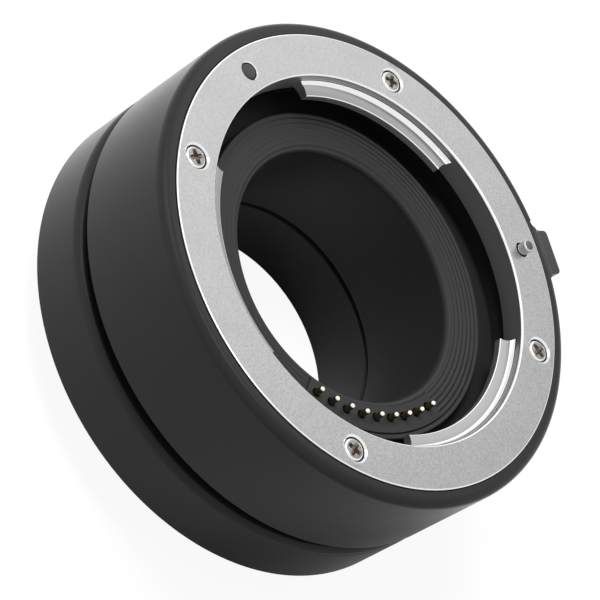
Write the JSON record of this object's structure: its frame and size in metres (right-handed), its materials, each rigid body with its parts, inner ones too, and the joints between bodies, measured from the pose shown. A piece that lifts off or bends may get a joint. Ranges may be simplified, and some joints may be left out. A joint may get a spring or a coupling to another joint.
{
  "type": "macro extension tube",
  "caption": "Locked pair of macro extension tubes: black ringed barrels, chrome bayonet mounts, release levers, gold sprung contacts and a ridged light baffle round an open bore",
  "frame": {"origin": "centre of the rear bayonet's end face, on the optical axis; the underside rests at z = 0", "axes": "+Z runs along the optical axis towards the lens; +X passes through one screw of the front mount ring; the release levers lie 30 degrees from +X towards +Y"},
  "size_m": [0.062, 0.062, 0.0312],
  "materials": {
    "rear_barrel_paint": "fine satin black paint on aluminium",
    "rear_ring_plating": "satin chrome face with polished edges",
    "rear_screw_steel": "bright nickel plated steel",
    "rear_dot_enamel": "dark grey enamel",
    "rear_lever_black": "satin black",
    "rear_pin_steel": "polished steel",
    "rear_spring_steel": "drawn spring wire",
    "rear_baffle_black": "matt black moulding",
    "rear_block_black": "black insulating plastic",
    "rear_contact_gold": "gold plated",
    "rear_bayonet_plating": "satin chrome",
    "rear_tail_screw_steel": "plated steel",
    "rear_pad_strip_black": "black insulating plastic",
    "front_barrel_paint": "fine satin black paint on aluminium",
    "front_ring_plating": "satin chrome face with polished edges",
    "front_screw_steel": "bright nickel plated steel",
    "front_dot_enamel": "dark grey enamel",
    "front_lever_black": "satin black",
    "front_pin_steel": "polished steel",
    "front_spring_steel": "drawn spring wire",
    "front_baffle_black": "matt black moulding",
    "front_block_black": "black insulating plastic",
    "front_contact_gold": "gold plated",
    "front_bayonet_plating": "satin chrome",
    "front_tail_screw_steel": "plated steel",
    "front_pad_strip_black": "black insulating plastic"
  },
  "bodies": {
    "rear_tube": {"rear_barrel": "rear_barrel_paint", "rear_mount_ring": "rear_ring_plating", "rear_ring_screw_1": "rear_screw_steel", "rear_ring_screw_2": "rear_screw_steel", "rear_ring_screw_3": "rear_screw_steel", "rear_ring_screw_4": "rear_screw_steel", "rear_index_dot": "rear_dot_enamel", "rear_light_baffle": "rear_baffle_black", "rear_contact_block": "rear_block_black", "rear_male_bayonet": "rear_bayonet_plating", "rear_pad_strip": "rear_pad_strip_black", "rear_lever_spring": "rear_spring_steel", "rear_bayonet_screw_1": "rear_tail_screw_steel", "rear_bayonet_screw_2": "rear_tail_screw_steel", "rear_bayonet_screw_3": "rear_tail_screw_steel"},
    "rear_release": {"rear_release_lever": "rear_lever_black", "rear_lock_pin": "rear_pin_steel"},
    "rear_pin_1": {"rear_contact_pin_1": "rear_contact_gold"},
    "rear_pin_2": {"rear_contact_pin_2": "rear_contact_gold"},
    "rear_pin_3": {"rear_contact_pin_3": "rear_contact_gold"},
    "rear_pin_4": {"rear_contact_pin_4": "rear_contact_gold"},
    "rear_pin_5": {"rear_contact_pin_5": "rear_contact_gold"},
    "rear_pin_6": {"rear_contact_pin_6": "rear_contact_gold"},
    "rear_pin_7": {"rear_contact_pin_7": "rear_contact_gold"},
    "rear_pin_8": {"rear_contact_pin_8": "rear_contact_gold"},
    "rear_pin_9": {"rear_contact_pin_9": "rear_contact_gold"},
    "front_tube": {"front_barrel": "front_barrel_paint", "front_mount_ring": "front_ring_plating", "front_ring_screw_1": "front_screw_steel", "front_ring_screw_2": "front_screw_steel", "front_ring_screw_3": "front_screw_steel", "front_ring_screw_4": "front_screw_steel", "front_index_dot": "front_dot_enamel", "front_light_baffle": "front_baffle_black", "front_contact_block": "front_block_black", "front_male_bayonet": "front_bayonet_plating", "front_pad_strip": "front_pad_strip_black", "front_lever_spring": "front_spring_steel", "front_bayonet_screw_1": "front_tail_screw_steel", "front_bayonet_screw_2": "front_tail_screw_steel", "front_bayonet_screw_3": "front_tail_screw_steel"},
    "front_release": {"front_release_lever": "front_lever_black", "front_lock_pin": "front_pin_steel"},
    "front_pin_1": {"front_contact_pin_1": "front_contact_gold"},
    "front_pin_2": {"front_contact_pin_2": "front_contact_gold"},
    "front_pin_3": {"front_contact_pin_3": "front_contact_gold"},
    "front_pin_4": {"front_contact_pin_4": "front_contact_gold"},
    "front_pin_5": {"front_contact_pin_5": "front_contact_gold"},
    "front_pin_6": {"front_contact_pin_6": "front_contact_gold"},
    "front_pin_7": {"front_contact_pin_7": "front_contact_gold"},
    "front_pin_8": {"front_contact_pin_8": "front_contact_gold"},
    "front_pin_9": {"front_contact_pin_9": "front_contact_gold"}
  },
  "joints": [
    {"name": "tube_twist", "type": "hinge", "parent": "rear_tube", "child": "front_tube", "pos_m": [0, 0, 0.014], "axis": [0, 0, 1], "range_deg": [0, 60]},
    {"name": "rear_release_slide", "type": "slide", "parent": "rear_tube", "child": "rear_release", "axis": [0, 0, -1], "range_m": [0, 0.00135], "stiffness_N_per_m": 2000, "springref_m": -0.0008, "deforming": ["rear_lever_spring"]},
    {"name": "rear_contact_pin_1_slide", "type": "slide", "parent": "rear_tube", "child": "rear_pin_1", "axis": [0, 0, -1], "range_m": [0, 0.0006], "stiffness_N_per_m": 300, "springref_m": -0.0009},
    {"name": "rear_contact_pin_2_slide", "type": "slide", "parent": "rear_tube", "child": "rear_pin_2", "axis": [0, 0, -1], "range_m": [0, 0.0006], "stiffness_N_per_m": 300, "springref_m": -0.0009},
    {"name": "rear_contact_pin_3_slide", "type": "slide", "parent": "rear_tube", "child": "rear_pin_3", "axis": [0, 0, -1], "range_m": [0, 0.0006], "stiffness_N_per_m": 300, "springref_m": -0.0009},
    {"name": "rear_contact_pin_4_slide", "type": "slide", "parent": "rear_tube", "child": "rear_pin_4", "axis": [0, 0, -1], "range_m": [0, 0.0006], "stiffness_N_per_m": 300, "springref_m": -0.0009},
    {"name": "rear_contact_pin_5_slide", "type": "slide", "parent": "rear_tube", "child": "rear_pin_5", "axis": [0, 0, -1], "range_m": [0, 0.0006], "stiffness_N_per_m": 300, "springref_m": -0.0009},
    {"name": "rear_contact_pin_6_slide", "type": "slide", "parent": "rear_tube", "child": "rear_pin_6", "axis": [0, 0, -1], "range_m": [0, 0.0006], "stiffness_N_per_m": 300, "springref_m": -0.0009},
    {"name": "rear_contact_pin_7_slide", "type": "slide", "parent": "rear_tube", "child": "rear_pin_7", "axis": [0, 0, -1], "range_m": [0, 0.0006], "stiffness_N_per_m": 300, "springref_m": -0.0009},
    {"name": "rear_contact_pin_8_slide", "type": "slide", "parent": "rear_tube", "child": "rear_pin_8", "axis": [0, 0, -1], "range_m": [0, 0.0006], "stiffness_N_per_m": 300, "springref_m": -0.0009},
    {"name": "rear_contact_pin_9_slide", "type": "slide", "parent": "rear_tube", "child": "rear_pin_9", "axis": [0, 0, -1], "range_m": [0, 0.0006], "stiffness_N_per_m": 300, "springref_m": -0.0009},
    {"name": "front_release_slide", "type": "slide", "parent": "front_tube", "child": "front_release", "axis": [0, 0, -1], "range_m": [0, 0.00135], "stiffness_N_per_m": 2000, "springref_m": -0.0008, "deforming": ["front_lever_spring"]},
    {"name": "front_contact_pin_1_slide", "type": "slide", "parent": "front_tube", "child": "front_pin_1", "axis": [0, 0, -1], "range_m": [0, 0.001], "stiffness_N_per_m": 300, "springref_m": -0.0005},
    {"name": "front_contact_pin_2_slide", "type": "slide", "parent": "front_tube", "child": "front_pin_2", "axis": [0, 0, -1], "range_m": [0, 0.001], "stiffness_N_per_m": 300, "springref_m": -0.0005},
    {"name": "front_contact_pin_3_slide", "type": "slide", "parent": "front_tube", "child": "front_pin_3", "axis": [0, 0, -1], "range_m": [0, 0.001], "stiffness_N_per_m": 300, "springref_m": -0.0005},
    {"name": "front_contact_pin_4_slide", "type": "slide", "parent": "front_tube", "child": "front_pin_4", "axis": [0, 0, -1], "range_m": [0, 0.001], "stiffness_N_per_m": 300, "springref_m": -0.0005},
    {"name": "front_contact_pin_5_slide", "type": "slide", "parent": "front_tube", "child": "front_pin_5", "axis": [0, 0, -1], "range_m": [0, 0.001], "stiffness_N_per_m": 300, "springref_m": -0.0005},
    {"name": "front_contact_pin_6_slide", "type": "slide", "parent": "front_tube", "child": "front_pin_6", "axis": [0, 0, -1], "range_m": [0, 0.001], "stiffness_N_per_m": 300, "springref_m": -0.0005},
    {"name": "front_contact_pin_7_slide", "type": "slide", "parent": "front_tube", "child": "front_pin_7", "axis": [0, 0, -1], "range_m": [0, 0.001], "stiffness_N_per_m": 300, "springref_m": -0.0005},
    {"name": "front_contact_pin_8_slide", "type": "slide", "parent": "front_tube", "child": "front_pin_8", "axis": [0, 0, -1], "range_m": [0, 0.001], "stiffness_N_per_m": 300, "springref_m": -0.0005},
    {"name": "front_contact_pin_9_slide", "type": "slide", "parent": "front_tube", "child": "front_pin_9", "axis": [0, 0, -1], "range_m": [0, 0.001], "stiffness_N_per_m": 300, "springref_m": -0.0005}
  ]
}
